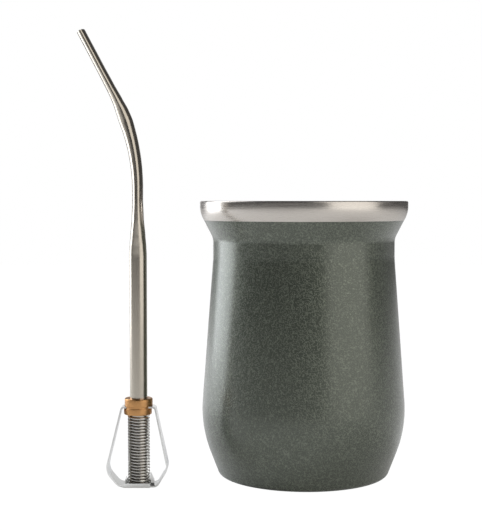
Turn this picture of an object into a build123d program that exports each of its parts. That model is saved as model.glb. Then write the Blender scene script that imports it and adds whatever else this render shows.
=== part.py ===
"""Stainless mate cup with its filter straw standing beside it. Millimetres, +Z up.

The origin is the centre of the cup's flat base. The straw stands at the cup's
left and a little in front of it, upright on the flat foot of its filter frame.
"""

import os
from math import atan, cos, radians, sin, sqrt, tan

from build123d import *

# ---------------------------------------------------------------- cup
CUP_HEIGHT = 106.0
RIM_RADIUS = 40.0          # outside of the bare steel band at the mouth
BAND_HEIGHT = 7.4          # bare steel, from the lip down to the paint
BAND_INSET = 1.55          # how far the band draws in at its lower edge
BAND_UPRIGHT = 2.0         # upright part of the band, lip included
LIP_ROUND = 0.7
NECK_INSET = 5.05          # rim radius less neck radius
SHOULDER_DROP = 6.9        # from the band's lower edge to the neck's corner
NECK_LENGTH = 7.7
NECK_ROUND = 6.0
TAPER_ROUND = 30.0
BELLY_INSET = 0.16         # rim radius less the radius where the wall's lines cross
BELLY_Z = 19.0
BELLY_ROUND = 45.0
FOOT_INSET = 7.45          # rim radius less foot radius
FOOT_ROUND = 2.6
SHELL_WALL = 0.8
LINER_WALL = 0.8
WALL_GAP = 1.8             # between the two walls
FLOOR_GAP = 3.4            # between the outer and the inner floor
LINER_FLOOR_ROUND = 8.0
LINER_BELLY_ROUND = 26.0
FOLD_DEPTH = 2.0           # the lip's fold, from the top to where the walls part

# ---------------------------------------------------------------- straw tube
TUBE_DIAMETER = 6.5
TUBE_WALL = 0.5
BEND_START = 110.5         # height of the lower end of the bend
BEND_RADIUS = 75.0
BEND_ANGLE = 27.7          # degrees, towards -X
MOUTH_LENGTH = 25.5        # straight run above the bend
PRESSED_RUN = 24.5         # the tube is round up to this far below the bend
MOUTH_THICKNESS = 3.05
# thickness of the pressed tube at distances above its round end
PRESSED = (
    (7.0, 5.60),
    (13.5, 4.48),
    (20.0, 3.96),
    (28.0, 4.10),
    (38.0, 4.40),
    (45.0, 4.72),
    (49.7, 5.08),
    (53.5, 4.72),
    (57.5, 3.92),
    (63.0, 3.40),
    (72.0, 3.16),
)

# ---------------------------------------------------------------- filter
SPRING_WIRE = 0.85
SPRING_TURNS = 23
SPRING_CLEARANCE = 0.07    # between the coil and the tube inside it
COIL_ROOT = 0.4            # depth of the groove between two turns
COLLAR_RADIUS = 5.2
COLLAR_SLIP = 0.3          # the lower ring sits this far to the left
SEAM_SET_BACK = 0.2        # the ring's boss between the two rings is this much smaller
SLOT_CLEARANCE = 0.05      # between the strip's top plate and the slot it lies in
UPPER_RING = 2.9
LOWER_RING = 2.5
RING_CHAMFER = 0.4

# ---------------------------------------------------------------- filter frame
STRIP = 0.6                # sheet thickness
FRAME_HEIGHT = 29.9        # floor to the top of the plate between the two rings
HOOK_LEFT = 6.4            # half widths of the loop at its top corners
HOOK_RIGHT = 6.4
HIP_LEFT = 12.35           # where the arms' lines meet the lines of the lower bends
HIP_RIGHT = 11.2
HIP_LEFT_Z = 5.9
HIP_RIGHT_Z = 6.8
SOLE_LEFT = 7.3            # where those lines meet the floor
SOLE_RIGHT = 7.05
HOOK_ROUND = 1.3
HIP_LEFT_ROUND = 6.0
HIP_RIGHT_ROUND = 4.5
SOLE_LEFT_ROUND = 4.0
SOLE_RIGHT_ROUND = 2.6
STRIP_DEPTH_LOW = 8.2      # front to back, up to DEPTH_CHANGE_Z
STRIP_DEPTH_TOP = 5.6      # front to back, at the top plate
DEPTH_CHANGE_Z = 9.0
TRAY_WIDTH = 9.8
TRAY_SHIFT = 0.5           # the tray sits this far to the left of the coil
TRAY_LIP_HEIGHT = 1.6
TRAY_CLEARANCE = 0.15      # between the coil and the tray's lips and ears
EAR_LEFT_HEIGHT = 3.6
EAR_RIGHT_HEIGHT = 5.1
EAR_LEFT_WIDTH = 0.85
EAR_RIGHT_WIDTH = 1.5
EAR_TIP = 0.3              # width of an ear at its top
EAR_FORWARD = 1.0

# ---------------------------------------------------------------- placing
CUP_TO_FRAME = 11.27       # from the cup's belly to the frame's right hip
STRAW_FORWARD = 20.0       # the straw stands this far in front of the cup's axis

# ---------------------------------------------------------------- worked out
NECK_RADIUS = RIM_RADIUS - NECK_INSET
BELLY_RADIUS = RIM_RADIUS - BELLY_INSET
FOOT_RADIUS = RIM_RADIUS - FOOT_INSET
PAINT_TOP = CUP_HEIGHT - BAND_HEIGHT
PAINT_TOP_RADIUS = RIM_RADIUS - BAND_INSET
NECK_TOP = PAINT_TOP - SHOULDER_DROP
NECK_BOTTOM = NECK_TOP - NECK_LENGTH
LINER_INSET = SHELL_WALL + WALL_GAP
LINER_FLOOR = SHELL_WALL + FLOOR_GAP
LIP_WALL = SHELL_WALL + LINER_WALL

TUBE_RADIUS = TUBE_DIAMETER / 2
ROUND_END = BEND_START - PRESSED_RUN
BEND_RUN = BEND_RADIUS * radians(BEND_ANGLE)
PRESSED_LENGTH = PRESSED_RUN + BEND_RUN + MOUTH_LENGTH

SPRING_INNER = TUBE_RADIUS + SPRING_CLEARANCE
SPRING_OUTER = SPRING_INNER + SPRING_WIRE
PLATE_Z = FRAME_HEIGHT - STRIP
SPRING_TOP = PLATE_Z - LOWER_RING
SPRING_PITCH = (SPRING_TOP - STRIP) / SPRING_TURNS
TRAY_FACE = SPRING_OUTER + TRAY_CLEARANCE
DEPTH_SLOPE = (STRIP_DEPTH_LOW - STRIP_DEPTH_TOP) / (FRAME_HEIGHT - DEPTH_CHANGE_Z)
SLOT_WIDTH = STRIP_DEPTH_TOP + DEPTH_SLOPE * STRIP + 2 * SLOT_CLEARANCE

STRAW_X = -(BELLY_RADIUS + CUP_TO_FRAME + HIP_RIGHT)
STRAW_Y = -STRAW_FORWARD
STRAW_AXIS = Axis((STRAW_X, STRAW_Y, 0), (0, 0, 1))
STRAW_FRONT = Plane(origin=(STRAW_X, STRAW_Y, 0), x_dir=(1, 0, 0), z_dir=(0, -1, 0))
STRAW_SIDE = Plane(origin=(STRAW_X, STRAW_Y, 0), x_dir=(0, 1, 0), z_dir=(1, 0, 0))


def straw_level(height):
    """Horizontal plane across the straw's axis at a height."""
    return Plane(origin=(STRAW_X, STRAW_Y, height))


def wall_corners(inset, floor):
    """Corners of the cup's wall line from floor to neck, moved in by inset."""
    lean = atan((BELLY_RADIUS - FOOT_RADIUS) / BELLY_Z)
    foot = FOOT_RADIUS + floor * tan(lean) - inset / cos(lean)
    return [
        (foot, floor),
        (BELLY_RADIUS - inset, BELLY_Z),
        (NECK_RADIUS - inset, NECK_BOTTOM),
        (NECK_RADIUS - inset, NECK_TOP),
    ]


def round_corners(sketch, corners, radii):
    """Fillet the open sketch at each corner by its radius."""
    for (x, z), radius in zip(corners, radii):
        fillet(sketch.vertices().sort_by_distance((x, z, 0))[0], radius)


def tube_plane(distance):
    """Plane across the tube at a distance above its round end."""
    in_bend = min(max(distance - PRESSED_RUN, 0), BEND_RUN)
    straight_below = min(distance, PRESSED_RUN)
    straight_above = max(distance - PRESSED_RUN - BEND_RUN, 0)
    lean = in_bend / BEND_RADIUS
    x = -BEND_RADIUS * (1 - cos(lean)) - straight_above * sin(lean)
    z = ROUND_END + straight_below + BEND_RADIUS * sin(lean) + straight_above * cos(lean)
    return Plane(
        origin=(STRAW_X + x, STRAW_Y, z),
        x_dir=(cos(lean), 0, sin(lean)),
        z_dir=(-sin(lean), 0, cos(lean)),
    )


def pressed_width(thickness):
    """Half width of the tube pressed to a thickness; its girth stays the round tube's."""
    return sqrt(2 * TUBE_RADIUS**2 - (thickness / 2) ** 2)


# ---------------------------------------------------------------- cup shell
# The painted outer wall with its flat base, up to the bare band.
shell_outer = wall_corners(0, 0)
shell_inner = wall_corners(SHELL_WALL, SHELL_WALL)

with BuildPart() as cup_shell:
    with BuildSketch(Plane.XZ) as shell_section:
        with BuildLine():
            Polyline(
                (0, 0),
                *shell_outer,
                (PAINT_TOP_RADIUS, PAINT_TOP),
                (PAINT_TOP_RADIUS - SHELL_WALL, PAINT_TOP),
                *reversed(shell_inner),
                (0, SHELL_WALL),
                close=True,
            )
        make_face()
        round_corners(
            shell_section,
            shell_outer,
            (FOOT_ROUND, BELLY_ROUND, TAPER_ROUND, NECK_ROUND),
        )
        round_corners(
            shell_section,
            shell_inner,
            (FOOT_ROUND - SHELL_WALL, BELLY_ROUND - SHELL_WALL, TAPER_ROUND, NECK_ROUND + SHELL_WALL),
        )
    revolve(axis=Axis.Z)

# ---------------------------------------------------------------- cup liner
# One drawn sheet: inner floor and wall, the folded lip and the bare band outside it.
liner_outer = wall_corners(LINER_INSET, LINER_FLOOR)
liner_inner = wall_corners(LINER_INSET + LINER_WALL, LINER_FLOOR + LINER_WALL)
lip_outer = (RIM_RADIUS, CUP_HEIGHT)
lip_inner = (RIM_RADIUS - LIP_WALL, CUP_HEIGHT)
band_start = (RIM_RADIUS, CUP_HEIGHT - BAND_UPRIGHT)
band_end = (PAINT_TOP_RADIUS, PAINT_TOP)
fold = (RIM_RADIUS - SHELL_WALL, CUP_HEIGHT - FOLD_DEPTH)

with BuildPart() as cup_liner:
    with BuildSketch(Plane.XZ) as liner_section:
        with BuildLine():
            Polyline(
                (0, LINER_FLOOR),
                *liner_outer,
                fold,
                (PAINT_TOP_RADIUS - SHELL_WALL, PAINT_TOP),
                band_end,
            )
            TangentArc(band_start, band_end, tangent=(0, -1))
            Polyline(
                band_start,
                lip_outer,
                lip_inner,
                *reversed(liner_inner),
                (0, LINER_FLOOR + LINER_WALL),
                (0, LINER_FLOOR),
            )
        make_face()
        round_corners(
            liner_section,
            liner_outer,
            (
                LINER_FLOOR_ROUND + LINER_WALL,
                LINER_BELLY_ROUND + LINER_WALL,
                TAPER_ROUND,
                NECK_ROUND + LINER_INSET,
            ),
        )
        round_corners(
            liner_section,
            liner_inner,
            (
                LINER_FLOOR_ROUND,
                LINER_BELLY_ROUND,
                TAPER_ROUND,
                NECK_ROUND + LINER_INSET + LINER_WALL,
            ),
        )
        round_corners(liner_section, (lip_outer, lip_inner), (LIP_ROUND, LIP_ROUND))
    revolve(axis=Axis.Z)

# ---------------------------------------------------------------- straw tube
# Round up to the waist, pressed flat above it, bent, and open at the mouth.
tube_sections = [(0.0, TUBE_DIAMETER), *PRESSED, (PRESSED_LENGTH, MOUTH_THICKNESS)]

with BuildPart() as straw_tube:
    for wall, mode in ((0, Mode.ADD), (TUBE_WALL, Mode.SUBTRACT)):
        with BuildSketch(straw_level(STRIP)):
            Circle(TUBE_RADIUS - wall)
        extrude(amount=ROUND_END - STRIP, clean=False, mode=mode)
        for distance, thickness in tube_sections:
            with BuildSketch(tube_plane(distance)):
                Ellipse(thickness / 2 - wall, pressed_width(thickness) - wall)
        loft(ruled=True, clean=False, mode=mode)

# ---------------------------------------------------------------- filter coil
# Close-wound wire: one ridge for each turn.
coil_turns = []
for turn in range(SPRING_TURNS):
    turn_z = STRIP + turn * SPRING_PITCH
    coil_turns += [
        (SPRING_OUTER - COIL_ROOT, turn_z),
        (SPRING_OUTER, turn_z + 0.3 * SPRING_PITCH),
        (SPRING_OUTER, turn_z + 0.7 * SPRING_PITCH),
    ]

with BuildPart() as filter_spring:
    with BuildSketch(STRAW_FRONT):
        with BuildLine():
            Polyline(
                (SPRING_INNER, STRIP),
                *coil_turns,
                (SPRING_OUTER - COIL_ROOT, SPRING_TOP),
                (SPRING_INNER, SPRING_TOP),
                close=True,
            )
        make_face()
    revolve(axis=STRAW_AXIS)

# ---------------------------------------------------------------- collar
# Two brass rings on the tube. The frame's top plate lies in a slot across the lower
# ring's boss and is gripped by the upper ring.
with BuildPart() as collar_lower:
    with BuildSketch(straw_level(SPRING_TOP)):
        with Locations((-COLLAR_SLIP, 0)):
            Circle(COLLAR_RADIUS)
        Circle(TUBE_RADIUS, mode=Mode.SUBTRACT)
    extrude(amount=LOWER_RING)
    outer_edges = collar_lower.edges().filter_by(GeomType.CIRCLE).sort_by(lambda e: e.radius)[-2:]
    chamfer(outer_edges.sort_by(Axis.Z)[0], RING_CHAMFER)
    with BuildSketch(straw_level(PLATE_Z)):
        Circle(COLLAR_RADIUS - SEAM_SET_BACK)
        Circle(TUBE_RADIUS, mode=Mode.SUBTRACT)
        Rectangle(2 * COLLAR_RADIUS, SLOT_WIDTH, mode=Mode.SUBTRACT)
    extrude(amount=STRIP)

with BuildPart() as collar_upper:
    with BuildSketch(straw_level(FRAME_HEIGHT)):
        Circle(COLLAR_RADIUS)
        Circle(TUBE_RADIUS, mode=Mode.SUBTRACT)
    extrude(amount=UPPER_RING)
    outer_edges = collar_upper.edges().filter_by(GeomType.CIRCLE).sort_by(lambda e: e.radius)[-2:]
    chamfer(outer_edges.sort_by(Axis.Z)[-1], RING_CHAMFER)

# ---------------------------------------------------------------- filter frame
# A flat strip bent into a loop: top plate, two arms, lower bends and sole, with
# the coil's tray folded up from the sole.
frame_corners = [
    (-HOOK_LEFT, FRAME_HEIGHT),
    (-HIP_LEFT, HIP_LEFT_Z),
    (-SOLE_LEFT, 0),
    (SOLE_RIGHT, 0),
    (HIP_RIGHT, HIP_RIGHT_Z),
    (HOOK_RIGHT, FRAME_HEIGHT),
]
frame_radii = (
    HOOK_ROUND,
    HIP_LEFT_ROUND,
    SOLE_LEFT_ROUND,
    SOLE_RIGHT_ROUND,
    HIP_RIGHT_ROUND,
    HOOK_ROUND,
)
tray_left = -TRAY_WIDTH / 2 - TRAY_SHIFT
ears = (
    (-1, EAR_LEFT_WIDTH, EAR_LEFT_HEIGHT),
    (1, EAR_RIGHT_WIDTH, EAR_RIGHT_HEIGHT),
)

with BuildPart() as filter_frame:
    with BuildSketch(STRAW_FRONT) as loop:
        with BuildLine():
            Polyline(*frame_corners, close=True)
        make_face()
        round_corners(loop, frame_corners, frame_radii)
        offset(amount=-STRIP, mode=Mode.SUBTRACT)
    extrude(amount=STRIP_DEPTH_LOW / 2, both=True)
    with BuildSketch(STRAW_SIDE):
        with BuildLine():
            Polyline(
                (-STRIP_DEPTH_LOW / 2, 0),
                (STRIP_DEPTH_LOW / 2, 0),
                (STRIP_DEPTH_LOW / 2, DEPTH_CHANGE_Z),
                (STRIP_DEPTH_TOP / 2, FRAME_HEIGHT),
                (-STRIP_DEPTH_TOP / 2, FRAME_HEIGHT),
                (-STRIP_DEPTH_LOW / 2, DEPTH_CHANGE_Z),
                close=True,
            )
        make_face()
    extrude(amount=HIP_LEFT + HIP_RIGHT, both=True, mode=Mode.INTERSECT)
    with BuildSketch(straw_level(PLATE_Z)):
        Circle(TUBE_RADIUS)
    extrude(amount=STRIP, mode=Mode.SUBTRACT)
    with BuildSketch(STRAW_SIDE.offset(tray_left)):
        with BuildLine():
            Polyline(
                (-TRAY_FACE - STRIP, 0),
                (TRAY_FACE + STRIP, 0),
                (TRAY_FACE + STRIP, TRAY_LIP_HEIGHT),
                (TRAY_FACE, TRAY_LIP_HEIGHT),
                (TRAY_FACE, STRIP),
                (-TRAY_FACE, STRIP),
                (-TRAY_FACE, TRAY_LIP_HEIGHT),
                (-TRAY_FACE - STRIP, TRAY_LIP_HEIGHT),
                close=True,
            )
        make_face()
    extrude(amount=TRAY_WIDTH)
    for side, width, height in ears:
        with BuildSketch(STRAW_FRONT.offset(EAR_FORWARD)):
            with BuildLine():
                Polyline(
                    (side * TRAY_FACE, STRIP / 2),
                    (side * (TRAY_FACE + width), STRIP / 2),
                    (side * (TRAY_FACE + width), height / 2),
                    (side * (TRAY_FACE + EAR_TIP), height),
                    (side * TRAY_FACE, height),
                    close=True,
                )
            make_face()
        extrude(amount=STRIP)

# ---------------------------------------------------------------- export
os.makedirs("parts", exist_ok=True)
pieces = {
    "cup_shell": cup_shell,
    "cup_liner": cup_liner,
    "straw_tube": straw_tube,
    "filter_spring": filter_spring,
    "collar_lower": collar_lower,
    "collar_upper": collar_upper,
    "filter_frame": filter_frame,
}
for name, piece in pieces.items():
    piece.part.label = name
    export_step(piece.part, f"parts/{name}.step")
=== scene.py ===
"""Mate cup with its filter straw: finishes, fine shapes and stage, in metres."""
from math import atan, cos, pi, radians, sin, sqrt, tan

import bmesh
import bpy
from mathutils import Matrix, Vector


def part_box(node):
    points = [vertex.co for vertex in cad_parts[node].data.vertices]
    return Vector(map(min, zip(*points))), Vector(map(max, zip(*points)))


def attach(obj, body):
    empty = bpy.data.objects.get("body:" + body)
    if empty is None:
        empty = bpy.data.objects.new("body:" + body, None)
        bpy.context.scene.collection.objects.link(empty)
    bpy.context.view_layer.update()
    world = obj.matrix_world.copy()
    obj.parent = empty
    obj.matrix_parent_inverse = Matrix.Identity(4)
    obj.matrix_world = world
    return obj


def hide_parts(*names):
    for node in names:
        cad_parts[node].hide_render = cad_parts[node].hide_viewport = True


bl_info = {
    "name": "Mate cup and filter straw",
    "version": (1, 0, 0),
    "blender": (4, 5, 0),
    "location": "View3D > Sidebar > Mate cup",
    "description": "Builds a stainless mate cup with a hammered finish and its bent filter straw",
    "category": "Add Mesh",
}

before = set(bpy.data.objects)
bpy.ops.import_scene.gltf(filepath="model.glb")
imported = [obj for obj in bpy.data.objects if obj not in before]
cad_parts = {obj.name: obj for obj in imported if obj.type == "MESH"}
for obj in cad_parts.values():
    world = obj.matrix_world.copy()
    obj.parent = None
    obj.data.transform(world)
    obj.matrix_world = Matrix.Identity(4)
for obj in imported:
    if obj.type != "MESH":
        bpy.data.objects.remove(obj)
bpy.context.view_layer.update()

MM = 0.001
LINER_LOW, LINER_HIGH = (Vector(corner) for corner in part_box("cup_liner"))
COIL_LOW, COIL_HIGH = (Vector(corner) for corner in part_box("filter_spring"))
RING_LOW, RING_HIGH = (Vector(corner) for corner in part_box("collar_upper"))
LOWER_LOW, LOWER_HIGH = (Vector(corner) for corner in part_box("collar_lower"))
COIL_CENTRE = (COIL_LOW + COIL_HIGH) / 2
STRAW_AXIS = Vector((COIL_CENTRE.x, COIL_CENTRE.y, 0))

# how finely round shapes are stepped
CORNER_STEPS = 10
BAND_STEPS = 8
TUBE_STEPS = 150
TUBE_SEGMENTS = 48
RING_SEGMENTS = 96
COIL_STEPS = 40
WIRE_STEPS = 12
MERGE_DISTANCE = 1e-7
SHARP_ANGLE = radians(35)

# stage
FLOOR_HALF = 1.5
FLOOR_DROP = 0.05 * MM
LAMP_AIM = Vector((0, 0, 0.06))
CAMERA_PLACE = (-0.0242, -0.460, 0.10605)
CAMERA_DOWN = radians(3.11)
SENSOR_WIDTH = 36.0
FOCAL_LENGTH = 88.9
CLIP_START = 0.01


# ------------------------------------------------------------------ sizes and colours
def length(name, description, default):
    """Length property in metres, from a default in millimetres."""
    return bpy.props.FloatProperty(
        name=name, description=description, default=default * MM, unit="LENGTH", precision=5
    )


def colour(name, description, default):
    """Linear colour property."""
    return bpy.props.FloatVectorProperty(
        name=name, description=description, default=default, subtype="COLOR", size=3, min=0, max=1
    )


class MateCupSizes(bpy.types.PropertyGroup):
    """Sizes of the cup."""

    height: bpy.props.FloatProperty(
        name="Height", description="Floor to lip", default=LINER_HIGH.z, unit="LENGTH"
    )
    rim_radius: bpy.props.FloatProperty(
        name="Rim radius", description="Outside of the bare band", default=LINER_HIGH.x, unit="LENGTH"
    )
    band_height: length("Band height", "Bare steel below the lip", 7.4)
    band_inset: length("Band inset", "How far the band draws in at the paint", 1.55)
    band_upright: length("Band upright", "Upright part of the band", 2.0)
    neck_inset: length("Neck inset", "Rim radius less neck radius", 5.05)
    shoulder_drop: length("Shoulder drop", "From the paint's edge to the neck's corner", 6.9)
    neck_length: length("Neck length", "Straight part of the neck", 7.7)
    belly_inset: length("Belly inset", "Rim radius less the wall lines' crossing", 0.16)
    belly_z: length("Belly height", "Height of the wall lines' crossing", 19.0)
    foot_inset: length("Foot inset", "Rim radius less foot radius", 7.45)
    foot_round: length("Foot round", "Outside radius at the foot", 2.6)
    belly_round: length("Belly round", "Outside radius at the belly", 45.0)
    taper_round: length("Taper round", "Radius where the taper meets the neck", 30.0)
    neck_round: length("Neck round", "Outside radius under the shoulder", 6.0)
    lining_foot_round: length("Lining foot round", "Inside radius at the lining's floor", 8.0)
    lining_belly_round: length("Lining belly round", "Inside radius at the lining's belly", 26.0)
    lip_round: length("Lip round", "Radius on both edges of the lip", 0.6)
    wall: length("Wall", "Sheet of the two walls", 0.8)
    gap: length("Gap", "Between the two walls", 1.8)
    floor_gap: length("Floor gap", "Between the two floors", 3.4)
    segments: bpy.props.IntProperty(name="Segments", description="Steps round the cup", default=192)


class MateStrawSizes(bpy.types.PropertyGroup):
    """Sizes of the straw and its filter."""

    tube_radius: length("Tube radius", "Outside of the round tube", 3.25)
    tube_wall: length("Tube wall", "Sheet of the tube", 0.5)
    tube_foot: length("Tube foot", "Height of the tube's lower end", 0.6)
    bend_start: length("Bend start", "Height of the bend's lower end", 110.5)
    bend_radius: length("Bend radius", "Radius of the bend's centre line", 75.0)
    bend_angle: bpy.props.FloatProperty(
        name="Bend angle", description="Lean of the mouth", default=radians(27.7), subtype="ANGLE"
    )
    mouth_length: length("Mouth length", "Straight run above the bend", 25.5)
    pressed_run: length("Pressed run", "Pressed length below the bend", 24.5)
    seam_set_back: length("Seam set back", "How far the seam between the rings draws in", 0.2)
    lower_ring: length("Lower ring", "Height of the lower ring up to the seam", 2.5)
    wire: length("Wire", "Diameter of the coil's wire", 0.85)
    turns: bpy.props.IntProperty(name="Turns", description="Turns of the coil", default=23)


class MateCupColours(bpy.types.PropertyGroup):
    """Colours of the finishes, in linear values."""

    paint_dark: colour("Paint, ground", "Dark ground of the hammered paint", (0.072, 0.084, 0.064))
    paint_light: colour("Paint, veins", "Light veins of the hammered paint", (0.165, 0.185, 0.145))
    rim_steel: colour("Rim steel", "Brushed band and lining", (0.62, 0.58, 0.54))
    tube_steel: colour("Tube steel", "Brushed tube", (0.52, 0.475, 0.41))
    wire_steel: colour("Wire steel", "Coil of the filter", (0.62, 0.60, 0.57))
    strip_steel: colour("Strip steel", "Polished strip of the frame", (0.85, 0.85, 0.84))
    brass: colour("Brass", "Turned collar rings", (0.62, 0.33, 0.135))
    floor: colour("Floor", "Plain studio floor", (0.92, 0.92, 0.92))


# ------------------------------------------------------------------ shape helpers
def arc_between(before, corner, after, radius):
    """Points of the round that a radius puts on a corner of a line of (r, z) points."""
    to_before = (Vector(before) - Vector(corner)).normalized()
    to_after = (Vector(after) - Vector(corner)).normalized()
    half = to_before.angle(to_after) / 2
    reach = radius / tan(half)
    centre = Vector(corner) + (to_before + to_after).normalized() * (radius / sin(half))
    start = Vector(corner) + to_before * reach - centre
    end = Vector(corner) + to_after * reach - centre
    turn = start.angle(end)
    points = []
    for step in range(CORNER_STEPS + 1):
        share = step / CORNER_STEPS
        blend = (start * sin((1 - share) * turn) + end * sin(share * turn)) / sin(turn)
        points.append(tuple(centre + blend))
    return points


def rounded_line(corners, radii):
    """Line through corners, each inner corner rounded by its radius."""
    line = [corners[0]]
    for before, corner, after, radius in zip(corners, corners[1:], corners[2:], radii):
        if radius > 0:
            line += arc_between(before, corner, after, radius)
        else:
            line.append(corner)
    line.append(corners[-1])
    return line


def mesh_piece(name, verts, faces, finish, replaced):
    """Smooth mesh object on the root body that stands for CAD nodes."""
    mesh = bpy.data.meshes.new(name)
    mesh.from_pydata([tuple(v) for v in verts], [], faces)
    mesh.validate()
    work = bmesh.new()
    work.from_mesh(mesh)
    bmesh.ops.remove_doubles(work, verts=work.verts, dist=MERGE_DISTANCE)
    bmesh.ops.recalc_face_normals(work, faces=work.faces)
    work.to_mesh(mesh)
    work.free()
    mesh.shade_smooth()
    mesh.set_sharp_from_angle(angle=SHARP_ANGLE)
    mesh.materials.append(finish)
    piece = bpy.data.objects.new(name, mesh)
    bpy.context.scene.collection.objects.link(piece)
    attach(piece, "root")
    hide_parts(*replaced)
    return piece


def lathe(profile, segments, centre=Vector((0, 0, 0))):
    """Vertices and faces of a closed (r, z) profile turned round an upright axis."""
    verts = []
    for r, z in profile:
        for step in range(segments):
            turn = 2 * pi * step / segments
            verts.append((centre.x + r * cos(turn), centre.y + r * sin(turn), centre.z + z))
    faces = []
    count = len(profile)
    for ring in range(count):
        following = (ring + 1) % count
        for step in range(segments):
            beside = (step + 1) % segments
            corners = (
                ring * segments + step,
                ring * segments + beside,
                following * segments + beside,
                following * segments + step,
            )
            if profile[ring][0] > 0 or profile[following][0] > 0:
                faces.append(corners)
    return verts, faces


def wall_corners(cup, inset, floor):
    """Corners of the cup's wall line from floor to neck, moved in by inset."""
    belly = cup.rim_radius - cup.belly_inset
    foot = cup.rim_radius - cup.foot_inset
    neck = cup.rim_radius - cup.neck_inset
    neck_top = cup.height - cup.band_height - cup.shoulder_drop
    lean = atan((belly - foot) / cup.belly_z)
    return [
        (foot + floor * tan(lean) - inset / cos(lean), floor),
        (belly - inset, cup.belly_z),
        (neck - inset, neck_top - cup.neck_length),
        (neck - inset, neck_top),
    ]


# ------------------------------------------------------------------ material helpers
def add_node(tree, kind, inputs=None, **settings):
    """Node with its settings and plain input values."""
    made = tree.nodes.new(kind)
    for key, value in settings.items():
        setattr(made, key, value)
    for key, value in (inputs or {}).items():
        made.inputs[key].default_value = value
    return made


def new_finish(name, metallic, roughness):
    """Material, its tree and its Principled shader."""
    finish = bpy.data.materials.new(name)
    finish.use_nodes = True
    shader = finish.node_tree.nodes["Principled BSDF"]
    shader.inputs["Metallic"].default_value = metallic
    shader.inputs["Roughness"].default_value = roughness
    return finish, finish.node_tree, shader


def hammered_paint(colours):
    """Paint with fine light veins wandering over a dark ground, under a satin clear coat."""
    finish, tree, shader = new_finish("hammered_paint", 0.7, 0.33)
    place = add_node(tree, "ShaderNodeTexCoord")
    veins = add_node(
        tree,
        "ShaderNodeTexNoise",
        {"Scale": 1250.0, "Detail": 0.5, "Roughness": 0.45, "Distortion": 0.3},
    )
    centred = add_node(tree, "ShaderNodeMath", {1: 0.5}, operation="SUBTRACT")
    distance = add_node(tree, "ShaderNodeMath", operation="ABSOLUTE")
    line = add_node(
        tree,
        "ShaderNodeMapRange",
        {"From Min": 0.0, "From Max": 0.085, "To Min": 1.0, "To Max": 0.0},
        interpolation_type="SMOOTHSTEP",
    )
    tint = add_node(tree, "ShaderNodeMix", data_type="RGBA")
    tint.inputs[6].default_value = (*colours.paint_dark, 1)
    tint.inputs[7].default_value = (*colours.paint_light, 1)
    relief = add_node(tree, "ShaderNodeBump", {"Strength": 0.5, "Distance": 0.0001})
    shader.inputs["Coat Weight"].default_value = 1.0
    shader.inputs["Coat Roughness"].default_value = 0.26
    link = tree.links.new
    link(place.outputs["Object"], veins.inputs["Vector"])
    link(veins.outputs["Fac"], centred.inputs[0])
    link(centred.outputs[0], distance.inputs[0])
    link(distance.outputs[0], line.inputs["Value"])
    link(line.outputs["Result"], tint.inputs[0])
    link(tint.outputs[2], shader.inputs["Base Color"])
    link(line.outputs["Result"], relief.inputs["Height"])
    link(relief.outputs["Normal"], shader.inputs["Normal"])
    return finish


def brushed(name, tint, grain, roughness, depth):
    """Metal with fine scratches drawn out along the axes where grain is small."""
    finish, tree, shader = new_finish(name, 1.0, roughness)
    shader.inputs["Base Color"].default_value = (*tint, 1)
    place = add_node(tree, "ShaderNodeTexCoord")
    stretch = add_node(tree, "ShaderNodeMapping", {"Scale": grain})
    scratches = add_node(
        tree,
        "ShaderNodeTexNoise",
        {"Scale": 1.0, "Detail": 3.0, "Roughness": 0.6},
    )
    gloss = add_node(
        tree,
        "ShaderNodeMapRange",
        {"From Min": 0.3, "From Max": 0.7, "To Min": roughness * 0.75, "To Max": roughness * 1.3},
    )
    relief = add_node(tree, "ShaderNodeBump", {"Strength": 0.5, "Distance": depth})
    link = tree.links.new
    link(place.outputs["Object"], stretch.inputs["Vector"])
    link(stretch.outputs["Vector"], scratches.inputs["Vector"])
    link(scratches.outputs["Fac"], gloss.inputs["Value"])
    link(gloss.outputs["Result"], shader.inputs["Roughness"])
    link(scratches.outputs["Fac"], relief.inputs["Height"])
    link(relief.outputs["Normal"], shader.inputs["Normal"])
    return finish


# ------------------------------------------------------------------ cup
class MATECUP_OT_shell(bpy.types.Operator):
    """Painted outer wall and flat base"""

    bl_idname = "matecup.shell"
    bl_label = "Painted wall"

    def execute(self, context):
        cup = context.scene.mate_cup
        outer = wall_corners(cup, 0, 0)
        inner = wall_corners(cup, cup.wall, cup.wall)
        paint_top = cup.height - cup.band_height
        edge = cup.rim_radius - cup.band_inset
        rounds = (cup.foot_round, cup.belly_round, cup.taper_round, cup.neck_round)
        inner_rounds = (
            cup.foot_round - cup.wall,
            cup.belly_round - cup.wall,
            cup.taper_round,
            cup.neck_round + cup.wall,
        )
        outside = rounded_line([(0, 0), *outer, (edge, paint_top)], rounds)
        inside = rounded_line([(0, cup.wall), *inner, (edge - cup.wall, paint_top)], inner_rounds)
        verts, faces = lathe(outside + inside[::-1], cup.segments)
        finish = hammered_paint(context.scene.mate_colours)
        mesh_piece("painted_wall", verts, faces, finish, ["cup_shell"])
        return {"FINISHED"}


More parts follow.
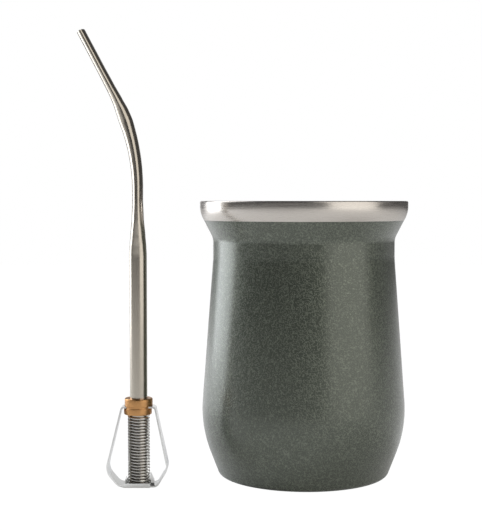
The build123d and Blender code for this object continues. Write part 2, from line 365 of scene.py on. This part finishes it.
class MATECUP_OT_liner(bpy.types.Operator):
    """Steel lining, lip and bare band"""

    bl_idname = "matecup.liner"
    bl_label = "Steel lining and band"

    def execute(self, context):
        cup = context.scene.mate_cup
        inset = cup.wall + cup.gap
        sheet = cup.wall
        floor = cup.wall + cup.floor_gap
        outer = wall_corners(cup, inset, floor)
        inner = wall_corners(cup, inset + sheet, floor + sheet)
        paint_top = cup.height - cup.band_height
        edge = cup.rim_radius - cup.band_inset
        fold = (cup.rim_radius - sheet, cup.height - cup.band_upright)
        band_depth = cup.band_height - cup.band_upright
        band_round = (band_depth**2 + cup.band_inset**2) / (2 * cup.band_inset)
        band = []
        for step in range(BAND_STEPS + 1):
            drop = band_depth * (1 - step / BAND_STEPS)
            band.append(
                (
                    cup.rim_radius - band_round + sqrt(band_round**2 - drop**2),
                    cup.height - cup.band_upright - drop,
                )
            )
        hidden_rounds = (
            cup.lining_foot_round + sheet,
            cup.lining_belly_round + sheet,
            cup.taper_round,
            cup.neck_round + inset,
        )
        hidden = rounded_line([(0, floor), *outer, fold], hidden_rounds)
        lip_corners = [
            band[-1],
            (cup.rim_radius, cup.height),
            (cup.rim_radius - 2 * sheet, cup.height),
            inner[-1],
        ]
        lip = rounded_line(lip_corners, (cup.lip_round, cup.lip_round))
        inside_rounds = (
            cup.neck_round + inset + sheet,
            cup.taper_round,
            cup.lining_belly_round,
            cup.lining_foot_round,
        )
        inside = rounded_line([lip[-2], *reversed(inner), (0, floor + sheet)], inside_rounds)
        profile = hidden + [(edge - sheet, paint_top)] + band + lip[1:-1] + inside[1:]
        verts, faces = lathe(profile, cup.segments)
        finish = brushed(
            "brushed_rim",
            context.scene.mate_colours.rim_steel,
            grain=(60, 60, 9000),
            roughness=0.26,
            depth=0.012 * MM,
        )
        mesh_piece("steel_lining", verts, faces, finish, ["cup_liner"])
        return {"FINISHED"}


# ------------------------------------------------------------------ straw
# thickness of the tube at distances above its round end, both in millimetres
PRESSED = (
    (0.0, 6.50),
    (3.0, 6.24),
    (7.0, 5.60),
    (13.5, 4.48),
    (20.0, 3.96),
    (28.0, 4.10),
    (38.0, 4.40),
    (45.0, 4.72),
    (49.7, 5.08),
    (53.5, 4.72),
    (57.5, 3.92),
    (63.0, 3.40),
    (72.0, 3.16),
    (86.2, 3.05),
)


def pressed_thickness(distance):
    """Thickness of the tube at a distance above its round end, partly eased between rows."""
    if distance <= 0:
        return PRESSED[0][1] * MM
    for (low, low_size), (high, high_size) in zip(PRESSED, PRESSED[1:]):
        if distance <= high * MM:
            share = (distance / MM - low) / (high - low)
            eased = 0.5 * share + 0.5 * share * share * (3 - 2 * share)
            return (low_size + (high_size - low_size) * eased) * MM
    return PRESSED[-1][1] * MM


def straw_station(straw, distance):
    """Centre and lean of the tube at a distance above its round end."""
    bend_run = straw.bend_radius * straw.bend_angle
    in_bend = min(max(distance - straw.pressed_run, 0), bend_run)
    lean = in_bend / straw.bend_radius
    below = min(distance, straw.pressed_run)
    above = max(distance - straw.pressed_run - bend_run, 0)
    x = -straw.bend_radius * (1 - cos(lean)) - above * sin(lean)
    round_end = straw.bend_start - straw.pressed_run
    z = round_end + below + straw.bend_radius * sin(lean) + above * cos(lean)
    return STRAW_AXIS + Vector((x, 0, z)), lean


class MATECUP_OT_tube(bpy.types.Operator):
    """Bent tube, pressed flat towards its open mouth"""

    bl_idname = "matecup.tube"
    bl_label = "Straw tube"

    def execute(self, context):
        straw = context.scene.mate_straw
        total = straw.pressed_run + straw.bend_radius * straw.bend_angle + straw.mouth_length
        round_end = straw.bend_start - straw.pressed_run
        stations = [straw.tube_foot - round_end, -1 * MM]
        stations += [total * step / TUBE_STEPS for step in range(TUBE_STEPS + 1)]
        rings = []
        for wall in (0, straw.tube_wall):
            for distance in stations if wall == 0 else stations[::-1]:
                centre, lean = straw_station(straw, distance)
                half = pressed_thickness(distance) / 2
                width = sqrt(2 * straw.tube_radius**2 - half**2)
                ring = []
                for step in range(TUBE_SEGMENTS):
                    turn = 2 * pi * step / TUBE_SEGMENTS
                    across = (half - wall) * cos(turn)
                    along = (width - wall) * sin(turn)
                    ring.append(centre + Vector((across * cos(lean), along, across * sin(lean))))
                rings.append(ring)
        verts = [vert for ring in rings for vert in ring]
        faces = []
        for ring in range(len(rings)):
            following = (ring + 1) % len(rings)
            for step in range(TUBE_SEGMENTS):
                beside = (step + 1) % TUBE_SEGMENTS
                faces.append(
                    (
                        ring * TUBE_SEGMENTS + step,
                        ring * TUBE_SEGMENTS + beside,
                        following * TUBE_SEGMENTS + beside,
                        following * TUBE_SEGMENTS + step,
                    )
                )
        finish = brushed(
            "brushed_tube",
            context.scene.mate_colours.tube_steel,
            grain=(5000, 5000, 120),
            roughness=0.22,
            depth=0.008 * MM,
        )
        mesh_piece("bent_tube", verts, faces, finish, ["straw_tube"])
        return {"FINISHED"}


def coil_tree(finish):
    """Geometry Nodes tree: a wound wire with named inputs for its sizes."""
    tree = bpy.data.node_groups.new("wound_coil", "GeometryNodeTree")
    sockets = {}
    for name in ("Radius", "Height", "Turns", "Wire Radius"):
        sockets[name] = tree.interface.new_socket(
            name, in_out="INPUT", socket_type="NodeSocketFloat"
        )
    tree.interface.new_socket("Geometry", in_out="OUTPUT", socket_type="NodeSocketGeometry")
    given = tree.nodes.new("NodeGroupInput")
    result = tree.nodes.new("NodeGroupOutput")
    spiral = add_node(tree, "GeometryNodeCurveSpiral", {"Resolution": COIL_STEPS})
    section = add_node(tree, "GeometryNodeCurvePrimitiveCircle", {"Resolution": WIRE_STEPS})
    wire = add_node(tree, "GeometryNodeCurveToMesh", {"Fill Caps": True})
    smooth = add_node(tree, "GeometryNodeSetShadeSmooth")
    real = add_node(tree, "GeometryNodeRealizeInstances")
    coat = add_node(tree, "GeometryNodeSetMaterial")
    coat.inputs["Material"].default_value = finish
    link = tree.links.new
    link(given.outputs["Radius"], spiral.inputs["Start Radius"])
    link(given.outputs["Radius"], spiral.inputs["End Radius"])
    link(given.outputs["Height"], spiral.inputs["Height"])
    link(given.outputs["Turns"], spiral.inputs["Rotations"])
    link(given.outputs["Wire Radius"], section.inputs["Radius"])
    link(spiral.outputs["Curve"], wire.inputs["Curve"])
    link(section.outputs["Curve"], wire.inputs["Profile Curve"])
    link(wire.outputs["Mesh"], smooth.inputs["Geometry"])
    link(smooth.outputs["Geometry"], real.inputs["Geometry"])
    link(real.outputs["Geometry"], coat.inputs["Geometry"])
    link(coat.outputs["Geometry"], result.inputs["Geometry"])
    return tree, sockets


class MATECUP_OT_coil(bpy.types.Operator):
    """Close-wound filter coil"""

    bl_idname = "matecup.coil"
    bl_label = "Filter coil"

    def execute(self, context):
        straw = context.scene.mate_straw
        finish = brushed(
            "coil_wire",
            context.scene.mate_colours.wire_steel,
            grain=(300, 300, 2000),
            roughness=0.2,
            depth=0.0008 * MM,
        )
        tree, sockets = coil_tree(finish)
        holder = bpy.data.objects.new("coil_holder", bpy.data.meshes.new("coil_holder"))
        context.scene.collection.objects.link(holder)
        nodes = holder.modifiers.new("coil", "NODES")
        nodes.node_group = tree
        radius = straw.wire / 2
        values = {
            "Radius": (COIL_HIGH.x - COIL_LOW.x) / 2 - radius,
            "Height": COIL_HIGH.z - COIL_LOW.z - straw.wire,
            "Turns": float(straw.turns),
            "Wire Radius": radius,
        }
        for name, value in values.items():
            nodes[sockets[name].identifier] = value
        context.view_layer.update()
        shaped = holder.evaluated_get(context.evaluated_depsgraph_get())
        mesh = bpy.data.meshes.new_from_object(shaped)
        bpy.data.objects.remove(holder)
        mesh.name = "filter_coil"
        lift = STRAW_AXIS + Vector((0, 0, COIL_LOW.z + radius))
        for vert in mesh.vertices:
            vert.co += lift
        coil = bpy.data.objects.new("filter_coil", mesh)
        context.scene.collection.objects.link(coil)
        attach(coil, "root")
        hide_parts("filter_spring")
        return {"FINISHED"}


class MATECUP_OT_collar(bpy.types.Operator):
    """Two turned brass rings"""

    bl_idname = "matecup.collar"
    bl_label = "Brass collar"

    def execute(self, context):
        straw = context.scene.mate_straw
        finish = brushed(
            "turned_brass",
            context.scene.mate_colours.brass,
            grain=(200, 200, 12000),
            roughness=0.33,
            depth=0.01 * MM,
        )
        seam_z = COIL_HIGH.z + straw.lower_ring
        rings = (
            ("upper_ring", "collar_upper", RING_LOW, RING_HIGH, 0.2 * MM, 0.45 * MM),
            ("lower_ring", "collar_lower", LOWER_LOW, LOWER_HIGH, 0.4 * MM, 0.2 * MM),
        )
        for name, node, low, high, low_round, high_round in rings:
            radius = (high.x - low.x) / 2
            corners = [(straw.tube_radius, low.z), (radius, low.z)]
            rounds = (low_round, high_round)
            if node == "collar_lower":
                boss = radius - straw.seam_set_back
                corners += [(radius, seam_z), (boss, seam_z), (boss, high.z)]
                rounds = (low_round, high_round, 0, 0)
            else:
                corners.append((radius, high.z))
            corners.append((straw.tube_radius, high.z))
            axis = Vector(((low.x + high.x) / 2, (low.y + high.y) / 2, 0))
            verts, faces = lathe(rounded_line(corners, rounds), RING_SEGMENTS, axis)
            mesh_piece(name, verts, faces, finish, [node])
        return {"FINISHED"}


class MATECUP_OT_frame(bpy.types.Operator):
    """Finish of the bent strip frame"""

    bl_idname = "matecup.frame"
    bl_label = "Strip frame finish"

    def execute(self, context):
        finish = brushed(
            "strip_steel",
            context.scene.mate_colours.strip_steel,
            grain=(300, 2500, 300),
            roughness=0.14,
            depth=0.001 * MM,
        )
        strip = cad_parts["filter_frame"]
        for slot in strip.material_slots:
            slot.material = finish
        return {"FINISHED"}


# ------------------------------------------------------------------ stage
def add_softbox(name, azimuth, distance, height, size, energy, tint):
    """Area lamp at an azimuth from the camera's side, aimed at the object."""
    lamp = bpy.data.lights.new(name, "AREA")
    lamp.shape = "RECTANGLE"
    lamp.size, lamp.size_y = size
    lamp.energy = energy
    lamp.color = tint
    holder = bpy.data.objects.new(name, lamp)
    holder.location = (distance * sin(azimuth), -distance * cos(azimuth), height)
    aim = LAMP_AIM - Vector(holder.location)
    holder.rotation_euler = aim.to_track_quat("-Z", "Y").to_euler()
    bpy.context.scene.collection.objects.link(holder)


def studio_world():
    """White to the camera; in reflections white straight behind the object, dark elsewhere."""
    world = bpy.data.worlds.new("studio")
    world.use_nodes = True
    tree = world.node_tree
    tree.nodes.clear()
    out = add_node(tree, "ShaderNodeOutputWorld")
    path = add_node(tree, "ShaderNodeLightPath")
    place = add_node(tree, "ShaderNodeTexCoord")
    axes = add_node(tree, "ShaderNodeSeparateXYZ")
    depth = add_node(
        tree,
        "ShaderNodeMapRange",
        {"From Min": 0.93, "From Max": 0.99, "To Min": 0.07, "To Max": 1.0},
    )
    soft = add_node(tree, "ShaderNodeBackground", {"Color": (1, 1, 1, 1), "Strength": 0.45})
    mirrored = add_node(tree, "ShaderNodeBackground", {"Color": (1, 1, 1, 1)})
    white = add_node(tree, "ShaderNodeBackground", {"Color": (1, 1, 1, 1), "Strength": 1.0})
    glossy = add_node(tree, "ShaderNodeMixShader")
    seen = add_node(tree, "ShaderNodeMixShader")
    link = tree.links.new
    link(place.outputs["Generated"], axes.inputs[0])
    link(axes.outputs["Y"], depth.inputs["Value"])
    link(depth.outputs["Result"], mirrored.inputs["Strength"])
    link(path.outputs["Is Glossy Ray"], glossy.inputs[0])
    link(soft.outputs[0], glossy.inputs[1])
    link(mirrored.outputs[0], glossy.inputs[2])
    link(path.outputs["Is Camera Ray"], seen.inputs[0])
    link(glossy.outputs[0], seen.inputs[1])
    link(white.outputs[0], seen.inputs[2])
    link(seen.outputs[0], out.inputs["Surface"])
    bpy.context.scene.world = world


def floor_finish(tint):
    """Matte floor that shows almost white to the camera and keeps a faint shadow."""
    finish = bpy.data.materials.new("studio_floor")
    finish.use_nodes = True
    tree = finish.node_tree
    tree.nodes.clear()
    out = add_node(tree, "ShaderNodeOutputMaterial")
    matte = add_node(tree, "ShaderNodeBsdfDiffuse", {"Color": (*tint, 1)})
    glow = add_node(tree, "ShaderNodeEmission", {"Color": (1, 1, 1, 1), "Strength": 1.06})
    path = add_node(tree, "ShaderNodeLightPath")
    share = add_node(tree, "ShaderNodeMath", {1: 0.94}, operation="MULTIPLY")
    mix = add_node(tree, "ShaderNodeMixShader")
    link = tree.links.new
    link(path.outputs["Is Camera Ray"], share.inputs[0])
    link(share.outputs[0], mix.inputs[0])
    link(matte.outputs[0], mix.inputs[1])
    link(glow.outputs[0], mix.inputs[2])
    link(mix.outputs[0], out.inputs["Surface"])
    return finish


class MATECUP_OT_stage(bpy.types.Operator):
    """Floor, soft light and camera"""

    bl_idname = "matecup.stage"
    bl_label = "Stage"

    def execute(self, context):
        scene = context.scene
        scene.view_settings.view_transform = "Standard"
        mesh = bpy.data.meshes.new("studio_floor")
        corners = [
            (x * FLOOR_HALF, y * FLOOR_HALF, 0) for x, y in ((-1, -1), (1, -1), (1, 1), (-1, 1))
        ]
        mesh.from_pydata(corners, [], [(0, 1, 2, 3)])
        mesh.materials.append(floor_finish(scene.mate_colours.floor))
        floor = bpy.data.objects.new("studio_floor", mesh)
        floor.location.z = -FLOOR_DROP
        scene.collection.objects.link(floor)
        studio_world()
        add_softbox(
            "softbox_right",
            azimuth=radians(52),
            distance=0.62,
            height=0.30,
            size=(0.75, 0.95),
            energy=2.6,
            tint=(1.0, 0.975, 0.92),
        )
        add_softbox(
            "softbox_left",
            azimuth=radians(-115),
            distance=0.60,
            height=0.25,
            size=(0.42, 0.95),
            energy=4.2,
            tint=(0.93, 0.96, 1.0),
        )
        lens = bpy.data.cameras.new("camera")
        lens.sensor_fit = "HORIZONTAL"
        lens.sensor_width = SENSOR_WIDTH
        lens.lens = FOCAL_LENGTH
        lens.clip_start = CLIP_START
        camera = bpy.data.objects.new("camera", lens)
        camera.location = CAMERA_PLACE
        camera.rotation_euler = (radians(90) - CAMERA_DOWN, 0, 0)
        scene.collection.objects.link(camera)
        scene.camera = camera
        return {"FINISHED"}


# ------------------------------------------------------------------ panel and run
class MATECUP_PT_panel(bpy.types.Panel):
    """Lists the steps that build the cup and its straw"""

    bl_label = "Mate cup"
    bl_idname = "MATECUP_PT_panel"
    bl_space_type = "VIEW_3D"
    bl_region_type = "UI"
    bl_category = "Mate cup"

    def draw(self, context):
        for step in STEPS:
            self.layout.operator(step.bl_idname)
        for group in ("mate_cup", "mate_straw", "mate_colours"):
            settings = getattr(context.scene, group)
            for name in settings.__annotations__:
                self.layout.prop(settings, name)


STEPS = (
    MATECUP_OT_shell,
    MATECUP_OT_liner,
    MATECUP_OT_tube,
    MATECUP_OT_coil,
    MATECUP_OT_collar,
    MATECUP_OT_frame,
    MATECUP_OT_stage,
)
GROUPS = {
    "mate_cup": MateCupSizes,
    "mate_straw": MateStrawSizes,
    "mate_colours": MateCupColours,
}


def register():
    """Register the classes and put the settings on the scene."""
    for group in (*GROUPS.values(), *STEPS, MATECUP_PT_panel):
        bpy.utils.register_class(group)
    for name, group in GROUPS.items():
        setattr(bpy.types.Scene, name, bpy.props.PointerProperty(type=group))


def unregister():
    """Take the settings and classes away again."""
    for name in GROUPS:
        delattr(bpy.types.Scene, name)
    for group in (MATECUP_PT_panel, *reversed(STEPS), *reversed(GROUPS.values())):
        bpy.utils.unregister_class(group)


def main():
    """Build every piece in order."""
    register()
    for step in STEPS:
        group, name = step.bl_idname.split(".")
        getattr(getattr(bpy.ops, group), name)()


if __name__ == "__main__":
    main()
